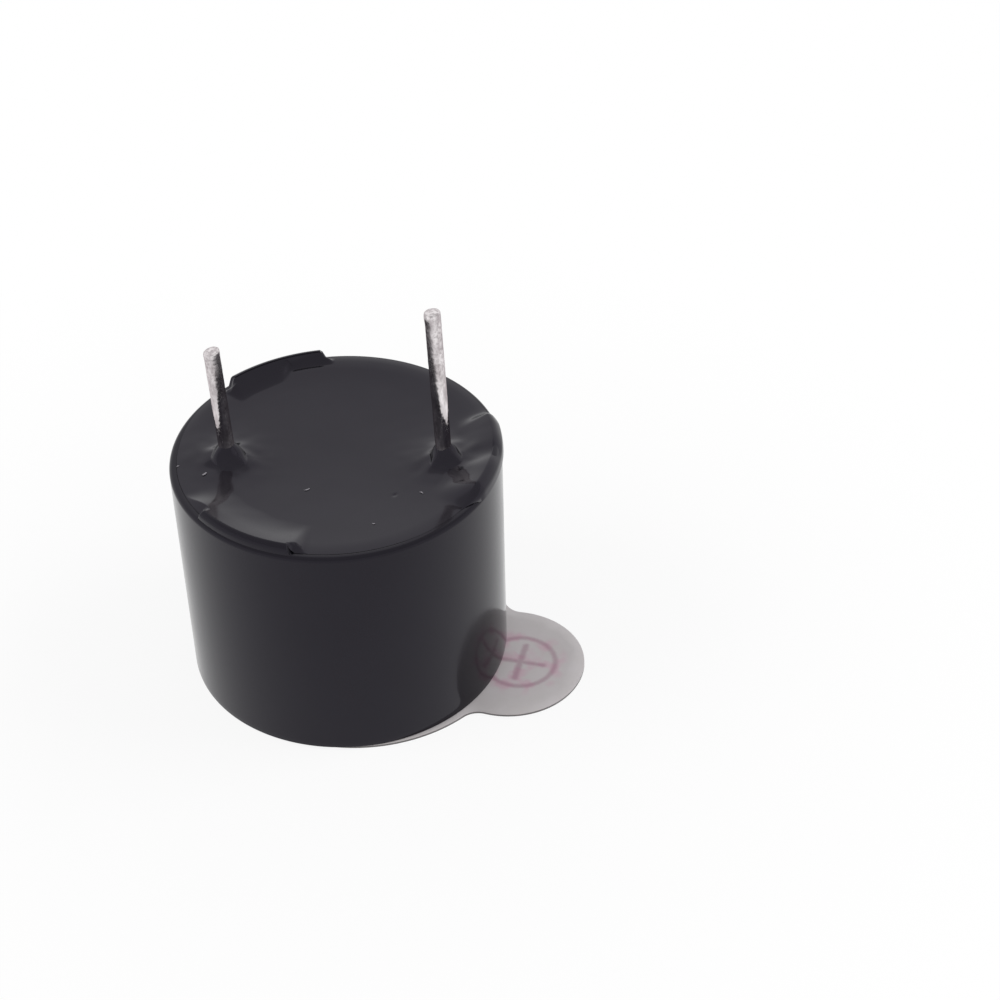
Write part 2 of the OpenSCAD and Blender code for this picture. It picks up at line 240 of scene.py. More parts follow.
def epoxy_cast_black():
    # Epoxy, poured and cured in place: black and glossy, with the slow waves of a cast surface
    material, tree, place = start_material("epoxy_cast_black")
    cloud = add(tree, "TexNoise", {"Vector": place, "Scale": per(1.8), "Detail": 4.0})
    wave = add(tree, "TexNoise", {"Vector": place, "Scale": per(0.9), "Detail": 1.0})
    bloom = add(tree, "TexNoise", {"Vector": place, "Scale": per(0.08), "Detail": 3.0})
    colour = add(
        tree, "Mix", {0: cloud.outputs[0], 6: srgb("121115"), 7: srgb("1a191d")}, data_type="RGBA"
    )
    rough = add(tree, "MapRange", {0: cloud.outputs[0], 1: 0.3, 2: 0.7, 3: 0.07, 4: 0.15})
    soft = add(tree, "Bump", {"Strength": 1.0, "Distance": 0.002 * MM, "Height": wave.outputs[0]})
    fine = add(
        tree,
        "Bump",
        {"Strength": 1.0, "Distance": 0.0003 * MM, "Height": bloom.outputs[0], "Normal": soft.outputs[0]},
    )
    surface = add(
        tree,
        "BsdfPrincipled",
        {
            "Base Color": colour.outputs[2],
            "Roughness": rough.outputs[0],
            "Normal": fine.outputs[0],
            "IOR": 1.5,
            "Specular IOR Level": 0.335,
            "Specular Tint": srgb("efe7ff"),
        },
    )
    end_material(tree, surface)
    return material


# heights between which the tin turns duller from handling
HANDLED_Z = (11.5, 13.5)


def tin_hot_dipped():
    # Tin, hot dipped on drawn wire: pale grey, clouded along the wire, duller towards its cut end
    material, tree, place = start_material("tin_hot_dipped")
    along = add(tree, "Mapping", {"Vector": place, "Scale": (1.0, 1.0, 0.35)})
    streak = add(tree, "TexNoise", {"Vector": along.outputs[0], "Scale": per(0.22), "Detail": 3.0})
    grain = add(tree, "TexNoise", {"Vector": place, "Scale": per(0.11), "Detail": 2.0})
    height = add(tree, "SeparateXYZ", {0: place}).outputs["Z"]
    handled = add(
        tree, "MapRange", {0: height, 1: HANDLED_Z[0] * MM, 2: HANDLED_Z[1] * MM, 3: 0.0, 4: 1.0}
    )
    tone = add(tree, "MapRange", {0: streak.outputs[0], 1: 0.36, 2: 0.64, 3: 0.0, 4: 1.0})
    spot = add(tree, "MapRange", {0: grain.outputs[0], 1: 0.36, 2: 0.56, 3: 0.5, 4: 0.0})
    spot = add(tree, "Math", {0: spot.outputs[0], 1: handled.outputs[0]}, operation="MULTIPLY")
    coat = add(tree, "Mix", {0: tone.outputs[0], 6: srgb("bdb6b8"), 7: srgb("efeaeb")}, data_type="RGBA")
    colour = add(
        tree, "Mix", {0: spot.outputs[0], 6: coat.outputs[2], 7: srgb("8d8688")}, data_type="RGBA"
    )
    rough = add(tree, "MapRange", {0: handled.outputs[0], 1: 0.0, 2: 1.0, 3: 0.13, 4: 0.28})
    soft = add(tree, "Bump", {"Strength": 1.0, "Distance": 0.0014 * MM, "Height": streak.outputs[0]})
    fine = add(
        tree,
        "Bump",
        {"Strength": 1.0, "Distance": 0.0003 * MM, "Height": grain.outputs[0], "Normal": soft.outputs[0]},
    )
    surface = add(
        tree,
        "BsdfPrincipled",
        {
            "Base Color": colour.outputs[2],
            "Metallic": 1.0,
            "Roughness": rough.outputs[0],
            "Normal": fine.outputs[0],
            "Specular Tint": srgb("cfc8ca"),
        },
    )
    end_material(tree, surface)
    return material


# printed shapes on the film, along and across the tab from the middle of the disc:
# (middle, half of its straight part each way, half its thickness)
PLUS_ALONG = ((6.2, 0.1), (0.9, 0.0), 0.08)
PLUS_ACROSS = ((6.2, 0.1), (0.0, 0.9), 0.1)
BARS = (
    ((1.54, 0.0), (0.0, 3.1), 0.22),
    ((0.0, 0.0), (0.0, 1.75), 0.22),
    ((-1.54, 0.0), (0.0, 2.45), 0.22),
    ((-2.97, 0.0), (0.0, 3.3), 0.22),
)
# the ring round the plus: middle, radius, half its thickness
RING_MIDDLE = (6.2, 0.1)
RING_R = 1.33
RING_HALF = 0.08
# how far the edge of the ink frays
PRINT_FRAY = 0.06
# between these radii the printed side turns lighter: inside them a painted shade stands for the dark case
# that backs the film
CASE_SHADE_R = (CASE_R - 0.25, CASE_R - 0.1)


def printed_shapes(tree, place):
    """Distance in millimetres to the nearest printed shape, below 0 inside it, with a frayed edge."""
    turned = add(
        tree,
        "Mapping",
        {
            "Vector": place,
            "Location": (
                FILM_SHIFT * math.cos(FILM_TURN) * MM,
                FILM_SHIFT * math.sin(FILM_TURN) * MM,
                0.0,
            ),
            "Rotation": (0.0, 0.0, FILM_TURN),
        },
        vector_type="TEXTURE",
    )
    flat = add(
        tree,
        "VectorMath",
        {0: turned.outputs[0], 1: (1 / MM, 1 / MM, 0.0)},
        operation="MULTIPLY",
    )
    nearest = None
    for middle, half, radius in (PLUS_ALONG, PLUS_ACROSS, *BARS):
        away = add(tree, "VectorMath", {0: flat.outputs[0], 1: (*middle, 0.0)}, operation="SUBTRACT")
        folded = add(tree, "VectorMath", {0: away.outputs[0]}, operation="ABSOLUTE")
        past = add(tree, "VectorMath", {0: folded.outputs[0], 1: (*half, 0.0)}, operation="SUBTRACT")
        outside = add(tree, "VectorMath", {0: past.outputs[0], 1: (0.0, 0.0, 0.0)}, operation="MAXIMUM")
        reach = add(tree, "VectorMath", {0: outside.outputs[0]}, operation="LENGTH")
        edge = add(tree, "Math", {0: reach.outputs["Value"], 1: radius}, operation="SUBTRACT")
        if nearest:
            edge = add(tree, "Math", {0: nearest.outputs[0], 1: edge.outputs[0]}, operation="MINIMUM")
        nearest = edge
    away = add(tree, "VectorMath", {0: flat.outputs[0], 1: (*RING_MIDDLE, 0.0)}, operation="DISTANCE")
    off_ring = add(tree, "Math", {0: away.outputs["Value"], 1: RING_R}, operation="SUBTRACT")
    off_ring = add(tree, "Math", {0: off_ring.outputs[0]}, operation="ABSOLUTE")
    off_ring = add(tree, "Math", {0: off_ring.outputs[0], 1: RING_HALF}, operation="SUBTRACT")
    nearest = add(tree, "Math", {0: nearest.outputs[0], 1: off_ring.outputs[0]}, operation="MINIMUM")
    fray = add(tree, "TexNoise", {"Vector": place, "Scale": per(0.12), "Detail": 3.0})
    frayed = add(
        tree,
        "Math",
        {0: fray.outputs[0], 1: PRINT_FRAY, 2: nearest.outputs[0]},
        operation="MULTIPLY_ADD",
    )
    return frayed.outputs[0]


def film_printed_white():
    # Polyester film, printed by screen on its underside: milky white, with a magenta ink that shows
    # through to the top as a blurred ghost
    material, tree, place = start_material("film_printed_white")
    frayed = printed_shapes(tree, place)
    # the ink on the printed side, and its blurred ghost on the other side
    ink = add(
        tree,
        "MapRange",
        {0: frayed, 1: 0.015, 2: 0.05, 3: 1.0, 4: 0.0},
        interpolation_type="SMOOTHSTEP",
    )
    blur = add(
        tree,
        "MapRange",
        {0: frayed, 1: -0.04, 2: 0.13, 3: 0.5, 4: 0.0},
        interpolation_type="SMOOTHSTEP",
    )
    # where the surface is the printed side, the cut edge with its painted shade, or clear of the case's
    # painted shade
    split = add(tree, "SeparateXYZ", {0: place})
    underneath = add(tree, "Math", {0: split.outputs["Z"], 1: FILM_T * MM / 2}, operation="LESS_THAN")
    facing = add(tree, "SeparateXYZ", {0: add(tree, "NewGeometry").outputs["Normal"]})
    upright = add(tree, "Math", {0: facing.outputs["Z"]}, operation="ABSOLUTE")
    shaded_cut_edge = add(tree, "Math", {0: upright.outputs[0], 1: 0.5}, operation="LESS_THAN")
    level = add(tree, "VectorMath", {0: place, 1: (1.0, 1.0, 0.0)}, operation="MULTIPLY")
    reach = add(tree, "VectorMath", {0: level.outputs[0]}, operation="LENGTH")
    clear_of_case_shade = add(
        tree,
        "MapRange",
        {0: reach.outputs["Value"], 1: CASE_SHADE_R[0] * MM, 2: CASE_SHADE_R[1] * MM, 3: 0.0, 4: 1.0},
    )
    # pink that bled into the film round the print, in patches
    bleed = add(
        tree,
        "MapRange",
        {0: frayed, 1: -0.02, 2: 0.6, 3: 0.4, 4: 0.0},
        interpolation_type="SMOOTHSTEP",
    )
    stain = add(tree, "TexNoise", {"Vector": place, "Scale": per(0.7), "Detail": 2.0})
    stain = add(tree, "MapRange", {0: stain.outputs[0], 1: 0.45, 2: 0.6, 3: 0.1, 4: 1.0})
    bleed = add(tree, "Math", {0: bleed.outputs[0], 1: stain.outputs[0]}, operation="MULTIPLY")
    # the film itself, then one colour laid over another
    cloud = add(tree, "TexNoise", {"Vector": place, "Scale": per(1.6), "Detail": 5.0, "Roughness": 0.6})
    fibre = add(tree, "TexNoise", {"Vector": place, "Scale": per(0.1), "Detail": 3.0})
    milk = add(
        tree, "Mix", {0: cloud.outputs[0], 6: srgb("c4bfbe"), 7: srgb("d9d4d7")}, data_type="RGBA"
    )
    # the printed side's tone: a painted shade where the dark case backs the film, and its own lighter tone
    # clear of it
    under = add(
        tree, "Mix", {0: clear_of_case_shade.outputs[0], 6: srgb("b4b2b4"), 7: srgb("dbd9db")}, data_type="RGBA"
    )
    pink = add(
        tree, "Mix", {0: bleed.outputs[0], 6: milk.outputs[2], 7: srgb("d28fb0")}, data_type="RGBA"
    )
    ghost = add(
        tree, "Mix", {0: blur.outputs[0], 6: pink.outputs[2], 7: srgb("9d6f86")}, data_type="RGBA"
    )
    print_side = add(
        tree, "Mix", {0: ink.outputs[0], 6: under.outputs[2], 7: srgb("c8327a")}, data_type="RGBA"
    )
    both = add(
        tree,
        "Mix",
        {0: underneath.outputs[0], 6: ghost.outputs[2], 7: print_side.outputs[2]},
        data_type="RGBA",
    )
    # the cut edge is painted dark grey: a painted shade for the thin shadow line along the film's edge
    colour = add(
        tree, "Mix", {0: shaded_cut_edge.outputs[0], 6: both.outputs[2], 7: srgb("6e6a6a")}, data_type="RGBA"
    )
    relief = add(tree, "Bump", {"Strength": 1.0, "Distance": 0.0012 * MM, "Height": fibre.outputs[0]})
    rough = add(tree, "MapRange", {0: cloud.outputs[0], 1: 0.3, 2: 0.7, 3: 0.36, 4: 0.5})
    surface = add(
        tree,
        "BsdfPrincipled",
        {
            "Base Color": colour.outputs[2],
            "Roughness": rough.outputs[0],
            "Normal": relief.outputs[0],
            "IOR": 1.5,
        },
    )
    end_material(tree, surface)
    return material


def cotton_lint():
    # Cotton lint and dust from handling: pale, matt fibres
    return plain_finish("cotton_lint", "7b787e", "aeabb1", 0.08, (0.75, 0.95), 0.001)


# ---- Materials of the pieces inside ----

def plain_finish(
    name, dark, light, blotch_mm, rough_range, relief_mm, metallic=0.0, stretch=(1.0, 1.0, 1.0)
):
    """A mottled surface: two tones, a range of roughness and a fine relief, all at one real size."""
    material, tree, place = start_material(name)
    scaled = add(tree, "Mapping", {"Vector": place, "Scale": stretch})
    cloud = add(tree, "TexNoise", {"Vector": scaled.outputs[0], "Scale": per(blotch_mm), "Detail": 4.0})
    colour = add(tree, "Mix", {0: cloud.outputs[0], 6: srgb(dark), 7: srgb(light)}, data_type="RGBA")
    rough = add(
        tree, "MapRange", {0: cloud.outputs[0], 1: 0.3, 2: 0.7, 3: rough_range[0], 4: rough_range[1]}
    )
    relief = add(tree, "Bump", {"Strength": 1.0, "Distance": relief_mm * MM, "Height": cloud.outputs[0]})
    surface = add(
        tree,
        "BsdfPrincipled",
        {
            "Base Color": colour.outputs[2],
            "Metallic": metallic,
            "Roughness": rough.outputs[0],
            "Normal": relief.outputs[0],
        },
    )
    end_material(tree, surface)
    return material


def steel_rolled():
    # Spring steel, cold rolled: bright, with fine lines along the strip
    return plain_finish("steel_rolled", "a9a9ad", "c4c4c8", 0.1, (0.25, 0.35), 0.0005, 1.0, (0.1, 1.0, 1.0))


def iron_zinc_plated():
    # Soft iron, stamped and zinc plated: bluish grey with a faint cloud
    return plain_finish("iron_zinc_plated", "8d9096", "b2b4b8", 0.4, (0.35, 0.5), 0.001, 1.0)


def nylon_moulded_black():
    # Nylon, moulded: black and matt
    return plain_finish("nylon_moulded_black", "161618", "222225", 0.3, (0.5, 0.65), 0.001)


def ferrite_pressed():
    # Ferrite, pressed and sintered: charcoal, dull, finely pitted
    return plain_finish("ferrite_pressed", "1e1c1b", "34312f", 0.08, (0.6, 0.8), 0.003)


def copper_wire_enamelled():
    # Copper wire, enamelled and wound in layers: amber brown, with turns drawn as fine rings
    return plain_finish(
        "copper_wire_enamelled", "8a4b22", "c9793c", 0.06, (0.25, 0.4), 0.004, 1.0, (0.05, 0.05, 1.0)
    )


def laminate_paper_phenolic():
    # Phenolic paper laminate, punched: tan with short paper fibres
    return plain_finish(
        "laminate_paper_phenolic", "8d6a35", "b18c4f", 0.15, (0.5, 0.7), 0.001, 0.0, (0.3, 1.0, 1.0)
    )


def copper_foil_etched():
    # Copper foil, etched: pink metal, slightly oxidised
    return plain_finish("copper_foil_etched", "b06f4c", "d2926b", 0.2, (0.3, 0.45), 0.001, 1.0)


def epoxy_chip_moulding():
    # Epoxy moulding compound, transfer moulded: black and finely matt
    return plain_finish("epoxy_chip_moulding", "1a1a1b", "262628", 0.05, (0.55, 0.7), 0.002)


def tin_plated_leads():
    # Tin, plated on copper leads: pale grey, satin
    return plain_finish("tin_plated_leads", "b4b4b6", "cdcdcf", 0.1, (0.3, 0.4), 0.0008, 1.0)


def solder_reflowed():
    # Tin solder, melted and set: silver, smooth with slight frosting
    return plain_finish("solder_reflowed", "a8a8ac", "c8c8cc", 0.15, (0.18, 0.35), 0.002, 1.0)


def finish_hidden_nodes():
    """Gives each carried-over node inside the part the finish of its real material."""
    finishes = {
        steel_rolled: ["diaphragm"],
        iron_zinc_plated: ["diaphragm_disc", "yoke_plate", "iron_core"],
        nylon_moulded_black: ["diaphragm_ring"],
        ferrite_pressed: ["ring_magnet"],
        copper_wire_enamelled: ["coil_winding", "coil_wire_start", "coil_wire_tap", "coil_wire_end"],
        laminate_paper_phenolic: ["circuit_board"],
        copper_foil_etched: ["copper_tracks"],
        epoxy_chip_moulding: ["transistor_body", "resistor_body", "diode_body"],
        tin_plated_leads: ["transistor_legs", "resistor_ends", "diode_legs"],
        solder_reflowed: [
            "solder_positive", "solder_negative", "solder_wire_start", "solder_wire_tap", "solder_wire_end"
        ],
    }
    for make_finish, names in finishes.items():
        material = make_finish()
        for name in names:
            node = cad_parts[name]
            if node.data.materials:
                for i in range(len(node.data.materials)):
                    node.data.materials[i] = material
            else:
                node.data.materials.append(material)


# ---- Case ----

# how far a seat's faces spread from its edges down to the rim
SEAT_DRAFT = 0.004
# half way across the sound face
FACE_MIDDLE_R = 3.4
# stations down the inner bevel of the rim, to the bore
BEVEL_RADII = (5.52, 5.49, BOARD_BORE_R)
# outer wall: (lowest station, highest station, steps)
WALL = (0.4, 9.0, 12)
# directions round the case are this many degrees apart, and closer within a few degrees of a seat's end
TURN_STEP = 0.9
SEAT_END_STEP = 0.2
SEAT_END_SPAN = 3.6


def rim_height(r):
    """Height of the rim's top, without seats: rounded outer edge, flat, then the inner bevel."""
    flat_r = CASE_R - RIM_ROUND
    if r > flat_r:
        return RIM_Z - RIM_ROUND + math.sqrt(max(RIM_ROUND ** 2 - (r - flat_r) ** 2, 0))
    return min(RIM_Z, RIM_Z - (RIM_IN_R - r))


def off_seat(turn):
    """How many degrees a direction lies off the middle of its nearest seat, and that seat."""
    found = [((turn - seat[0] + 180) % 360 - 180, seat) for seat in SEATS]
    return min(found, key=lambda pair: abs(pair[0]))


def seat_limit(off, seat):
    """Height that the sloped ends of a seat allow, rounded where they meet the top."""
    arc = math.radians(SEAT_HALF - abs(off)) * (seat[2] - SEAT_WIDE / 2)
    height = SEAT_END_Z + SEAT_SLOPE * arc
    over = (height - seat[1]) / SEAT_END_ROUND
    if over < -1:
        return height
    if over > 1:
        return seat[1]
    return seat[1] - SEAT_END_ROUND * (1 - over) ** 2 / 4


def seat_drop(r, seat):
    """How far a seat's section lies below its top: a wide rounding outside and a small one inside."""
    outside = r - (seat[2] - SEAT_OUT_ROUND)
    inside = seat[2] - SEAT_WIDE + SEAT_IN_ROUND - r
    if outside > SEAT_OUT_ROUND or inside > SEAT_IN_ROUND:
        return seat[1]
    if outside > 0:
        return SEAT_OUT_ROUND - math.sqrt(max(SEAT_OUT_ROUND ** 2 - outside ** 2, 0.0))
    return SEAT_IN_ROUND - math.sqrt(max(SEAT_IN_ROUND ** 2 - max(inside, 0.0) ** 2, 0.0))


def case_top(r, turn):
    """Height of the case's rim and seats."""
    off, seat = off_seat(turn)
    drop = seat_drop(r, seat)
    return max(rim_height(r), min(seat[1] - drop, seat_limit(off, seat) - drop / 2))


def rounding(r, middle_r, first, last, count):
    """Radii of stations evenly spaced round a rounding of radius r, from one angle to another."""
    steps = [math.radians(first + (last - first) * i / count) for i in range(count + 1)]
    return [middle_r + r * math.cos(a) for a in steps]


def lip_radii(turn):
    """Stations across the rim in a direction, from the outer wall to the bore."""
    out_r = off_seat(turn)[1][2]
    in_r = out_r - SEAT_WIDE
    flat_r = CASE_R - RIM_ROUND
    covered = math.degrees(math.acos((out_r + SEAT_DRAFT - flat_r) / RIM_ROUND))
    radii = rounding(RIM_ROUND, flat_r, 0, covered, 6)
    radii += rounding(SEAT_OUT_ROUND, out_r - SEAT_OUT_ROUND, 0, 84, 8)
    radii += rounding(SEAT_IN_ROUND, in_r + SEAT_IN_ROUND, 90, 180, 3)
    return [*radii, in_r - SEAT_DRAFT, *BEVEL_RADII]


def case_section():
    """The case's section below its rim: down inside, across the sound face, then up the outer wall."""
    section = [
        (BOARD_BORE_R, BOARD_Z),
        (DRIVE_BORE_R, BOARD_Z),
        (DRIVE_BORE_R, LEDGE_Z),
        (AIR_SPACE_R, LEDGE_Z),
        (AIR_SPACE_R, INNER_FACE_Z),
        (SOUND_HOLE_R, INNER_FACE_Z),
        (SOUND_HOLE_R, FACE_Z),
        (FACE_MIDDLE_R, FACE_Z),
        (CASE_R - FACE_ROUND - 0.02, FACE_Z),
    ]
    for a in (0, 15, 30, 45, 60, 75, 90):
        turn = math.radians(a)
        section.append(
            (CASE_R - FACE_ROUND * (1 - math.sin(turn)), FACE_Z + FACE_ROUND * (1 - math.cos(turn)))
        )
    return section + [(CASE_R, z) for z in stations(WALL)]


def moulded_case():
    """The cup with its rim and seats: rows of points that run round it."""
    ends = [(seat[0] + side * SEAT_HALF) % 360 for seat in SEATS for side in (-1, 1)]
    turns = angles(TURN_STEP, [(end - SEAT_END_SPAN, end + SEAT_END_SPAN, SEAT_END_STEP) for end in ends])
    lips = [lip_radii(turn) for turn in turns]
    points = []
    for i in range(len(lips[0])):
        points += [(*polar(lip[i], turn), case_top(lip[i], turn)) for turn, lip in zip(turns, lips)]
    section = case_section()
    for r, z in section:
        points += [(*polar(r, turn), z) for turn in turns]
    faces = ring_faces(len(lips[0]) + len(section), len(turns), close_rows=True)
    make_piece("moulded_case", points, faces, pbt_moulded_black(), "case", 38.0)


# ---- Resin ----

# beyond a radius the dish, and the swell at its back, ease off towards the rim: (radius, how strongly)
DISH_EASE = (5.1, 0.103)
SWELL_EASE = (5.5, 0.2)
# slow waves of the cast surface: (height, size), and the run inside the rim over which they die out
WAVES = ((0.006, 2.2), (0.002, 0.8))
WAVES_END = 0.5
# at the back the resin stands higher: (height, radius where that starts, run)
SWELL = (0.022, 4.2, 1.4)
# and there it reaches this far over the flat of the rim
RIM_FILM = 0.12

# how the resin creeps up each seat: (climb, reach at its two ends, where between them the reach
# changes, over how many degrees past each end it fades), the clockwise end first
SEAT_CREEP = (
    (0.34, (1.6, 1.2), 0.3, (12, 7)),
    (0.385, (0.3, 0.85), 0.45, (2, 3)),
    (0.31, (1.6, 1.6), 0.5, (14, 4)),
)
# share of a seat's length over which the reach changes, how uneven it is (share, size), the power of
# its curve, and how steeply it may rise from the edge of the rim
CREEP_CHANGE = 0.2
CREEP_UNEVEN = (0.1, 0.9)
CREEP_CURVE = 1.5
CREEP_SLOPE = 0.8

# over the first seat the resin flowed outwards and set as a skin: the radius that it reached, its two
# ends (degrees off the seat's middle, run), its height over the seat and the run where it rises
FLOW_R = 6.05
FLOW_ENDS = ((-33.0, 12.0), (31.0, 16.0))
FLOW_LIFT = 0.13
FLOW_RISE = 1.3
# it has two humps with a dip between them: (depth, degrees off the seat's middle, width in degrees)
FLOW_DIP = (0.11, -1.0, 5.0)
# it falls to its edge by a long curve (share, power) and a short lip (share, where it starts, run),
# and the edge ends this far inside the case
FLOW_CURVE = (0.55, 2.2)
FLOW_LIP = (0.45, 0.9, 0.1)
FLOW_SUNK = 0.02
# its edge comes down to the rim this many times as fast as the flow sets in
FLOW_DOWN = 5

# the wet resin pulled up round each terminal as a lopsided blob: (height, how much higher per
# millimetre backwards), middle from the terminal's foot, half widths, powers of its section
COLLAR = (0.24, 0.35)
COLLAR_AT = (0.06, -0.24)
COLLAR_HALF = (0.58, 0.64)
COLLAR_ROUND = (3, 0.8)
# how uneven its width and its top are: (amount, size)
COLLAR_SWELL = (0.25, 0.5)
COLLAR_LUMPS = (0.05, 0.3)
# and a wide skirt runs out under it: (height, reach, how far out it has ended)
COLLAR_SKIRT = (0.4, 0.5, 4)
# height of the resin at the terminals, without the collars
FOOT_Z = RESIN_LOW + 0.15

# small pit left by a burst bubble: place, depth, and spread in square millimetres
PIT_AT = (2.26, -2.29)
PIT_DEPTH = 0.03
PIT_SPREAD = 0.005

# the mesh: directions a step apart, and closer at the flow and across the short pin's collar
RESIN_STEP = 1.2
RESIN_FINE_STEP = 0.5
FLOW_MARGIN = 4
SHORT_PIN_SPAN = (171.0, 198.0)
# and rings that are circles up to a radius, then go over to the resin's edge
MIDDLE_R = 0.08
CIRCLES_R = 5.2
RESIN_SIDE_R = BOARD_BORE_R - 0.01
RESIN_SIDE_Z = 8.85


def eased(reach, ease):
    """How far a surface eases off beyond a radius."""
    return ease[1] * max(reach - ease[0], 0.0) ** 2


def terminal_foot(place):
    """Where a leaning terminal leaves the resin."""
    return place[0] + math.tan(PIN_LEAN) * (FOOT_Z - BOARD_TOP), place[1]


def back_film(turn):
    """Share of the resin's higher stand at the back, from 0 to 1, in a direction."""
    return smooth(2 * math.sin(math.radians(turn)))


def seat_flow(turn):
    """Share of the resin that flowed over the first seat, from 0 to 1, in a direction."""
    off = (turn - SEATS[0][0] + 180) % 360 - 180
    (front, front_run), (back, back_run) = FLOW_ENDS
    return smooth((off - front) / front_run) * smooth((back - off) / back_run)


def resin_edge(turn):
    """Radius at which the resin ends in a direction."""
    edge = RIM_IN_R + RIM_FILM * back_film(turn)
    return edge + (FLOW_R - edge) * seat_flow(turn)


def surface_waves(x, y, reach):
    """Height of the slow waves, which die out at the rim."""
    inside = smooth((RIM_IN_R - reach) / WAVES_END)
    return sum(high * wander(x, y, seed, size) * inside for seed, (high, size) in enumerate(WAVES, 1))


def collar_height(x, y, place, seed):
    """Height of the collar that the wet resin pulled up round a terminal: a blob and a wide skirt."""
    foot = terminal_foot(place)
    x, y = x - foot[0], y - foot[1]
    skirt, skirt_reach, skirt_end = COLLAR_SKIRT
    gap = max(math.hypot(x, y) - PIN_R + 0.02, 0.0)
    if gap > skirt_end:
        return 0.0
    swell = 1 + COLLAR_SWELL[0] * wander(x, y, seed, COLLAR_SWELL[1])
    aside = (x - COLLAR_AT[0]) / COLLAR_HALF[0]
    behind = (y - COLLAR_AT[1]) / COLLAR_HALF[1]
    reach = math.hypot(aside, behind) / swell
    lumps = COLLAR_LUMPS[0] * wander(x, y, seed + 10, COLLAR_LUMPS[1])
    top = COLLAR[0] + COLLAR[1] * (y - COLLAR_AT[1]) + lumps
    blob = max(top, 0.05) * max(1 - reach ** COLLAR_ROUND[0], 0.0) ** COLLAR_ROUND[1]
    return blob + skirt * swell * math.exp(-gap / skirt_reach)


def seat_creep(x, y, reach, turn):
    """How far the resin climbs towards the nearest seat, and no further than the rim holds it."""
    off, seat = off_seat(turn)
    climb, (first, last), change, fades = SEAT_CREEP[SEATS.index(seat)]
    along = (off / SEAT_HALF + 1) / 2
    width = first + (last - first) * smooth((along - change) / CREEP_CHANGE + 0.5)
    width *= 1 + CREEP_UNEVEN[0] * wander(x, y, 5, CREEP_UNEVEN[1])
    fade = fades[0] if off < 0 else fades[1]
    held = climb * smooth((SEAT_HALF + fade - abs(off)) / fade)
    gap = max(seat[2] - SEAT_WIDE - reach, 0.0)
    beside = max(seat_limit(off, seat) - SEAT_END_Z, 0.0)
    room = CREEP_SLOPE * max(RIM_IN_R - reach, 0.0) + beside + seat_flow(turn)
    return min(held * max(1 - gap / width, 0.0) ** CREEP_CURVE, room)


def flow_skin(height, reach, turn):
    """Height of the resin where it flowed over the first seat: two humps that come down to the rim."""
    flow = seat_flow(turn)
    if flow == 0:
        return height
    off, seat = off_seat(turn)
    in_r, edge = seat[2] - SEAT_WIDE, resin_edge(turn)
    dip = FLOW_DIP[0] * math.exp(-((off - FLOW_DIP[1]) / FLOW_DIP[2]) ** 2)
    height += flow * (FLOW_LIFT - dip) * smooth((reach - in_r + FLOW_RISE) / FLOW_RISE)
    across = max(reach - in_r, 0.0) / (edge - in_r)
    above = height - rim_height(min(edge, CASE_R - 0.05)) + FLOW_SUNK
    curve = FLOW_CURVE[0] * across ** FLOW_CURVE[1]
    lip = FLOW_LIP[0] * smooth((across - FLOW_LIP[1]) / FLOW_LIP[2])
    return height - smooth(FLOW_DOWN * flow) * above * (curve + lip)


def resin_height(x, y):
    """Height of the resin: a shallow dish with collars at the terminals and menisci at the seats."""
    reach, turn = math.hypot(x, y), math.degrees(math.atan2(y, x))
    height = RESIN_LOW + reach ** 2 / (2 * DISH_R) - eased(reach, DISH_EASE)
    height += surface_waves(x, y, reach)
    height += collar_height(x, y, POSITIVE_AT, 3) + collar_height(x, y, NEGATIVE_AT, 4)
    swell = SWELL[0] * smooth((reach - SWELL[1]) / SWELL[2]) - eased(reach, SWELL_EASE)
    height += back_film(turn) * swell
    height += seat_creep(x, y, reach, turn)
    height = flow_skin(height, reach, turn)
    off_pit = (x - PIT_AT[0]) ** 2 + (y - PIT_AT[1]) ** 2
    return height - PIT_DEPTH * math.exp(-off_pit / PIT_SPREAD)


def cast_resin():
    """The resin, from the board up: rings on its height field, closed by its side and underside."""
    low, high = SEATS[0][0] - SEAT_HALF - FLOW_MARGIN, SEATS[0][0] + SEAT_HALF + FLOW_MARGIN
    turns = angles(RESIN_STEP, [(low, high, RESIN_FINE_STEP), (*SHORT_PIN_SPAN, RESIN_FINE_STEP)])
    circles = stations((MIDDLE_R, 2.7, 20), (2.7, 5.0, 66), (5.0, CIRCLES_R, 4))[:-1]
    shares = stations((0.0, 0.4, 8), (0.4, 1.0, 22))
    rings = [[r] * len(turns) for r in circles]
    rings += [[CIRCLES_R + (resin_edge(turn) - CIRCLES_R) * share for turn in turns] for share in shares]
    points = []
    for ring in rings:
        for r, turn in zip(ring, turns):
            x, y = polar(r, turn)
            points.append((x, y, resin_height(x, y)))
    underside = BOARD_TOP + 0.01
    side = ((RESIN_SIDE_R, RESIN_SIDE_Z), (RESIN_SIDE_R, underside), (MIDDLE_R, underside))
    for r, z in side:
        points += [(*polar(r, turn), z) for turn in turns]
    rows, columns = len(rings) + len(side), len(turns)
    top, bottom = len(points), len(points) + 1
    points += [(0.0, 0.0, resin_height(0.0, 0.0)), (0.0, 0.0, underside)]
    faces = ring_faces(rows, columns)
    faces += fan_faces(top, 0, columns, flip=True)
    faces += fan_faces(bottom, (rows - 1) * columns, columns)
    faces = [face[::-1] for face in faces]
    make_piece("cast_resin", points, faces, epoxy_cast_black(), "potting_resin", 70.0)


# ---- Terminals ----

# how each end was sheared: (slope of the cut, the direction in which it falls, dome, burr)
LONG_END = (0.02, 180.0, 0.03, 0.02)
SHORT_END = (0.2, 190.0, 0.0, 0.0)
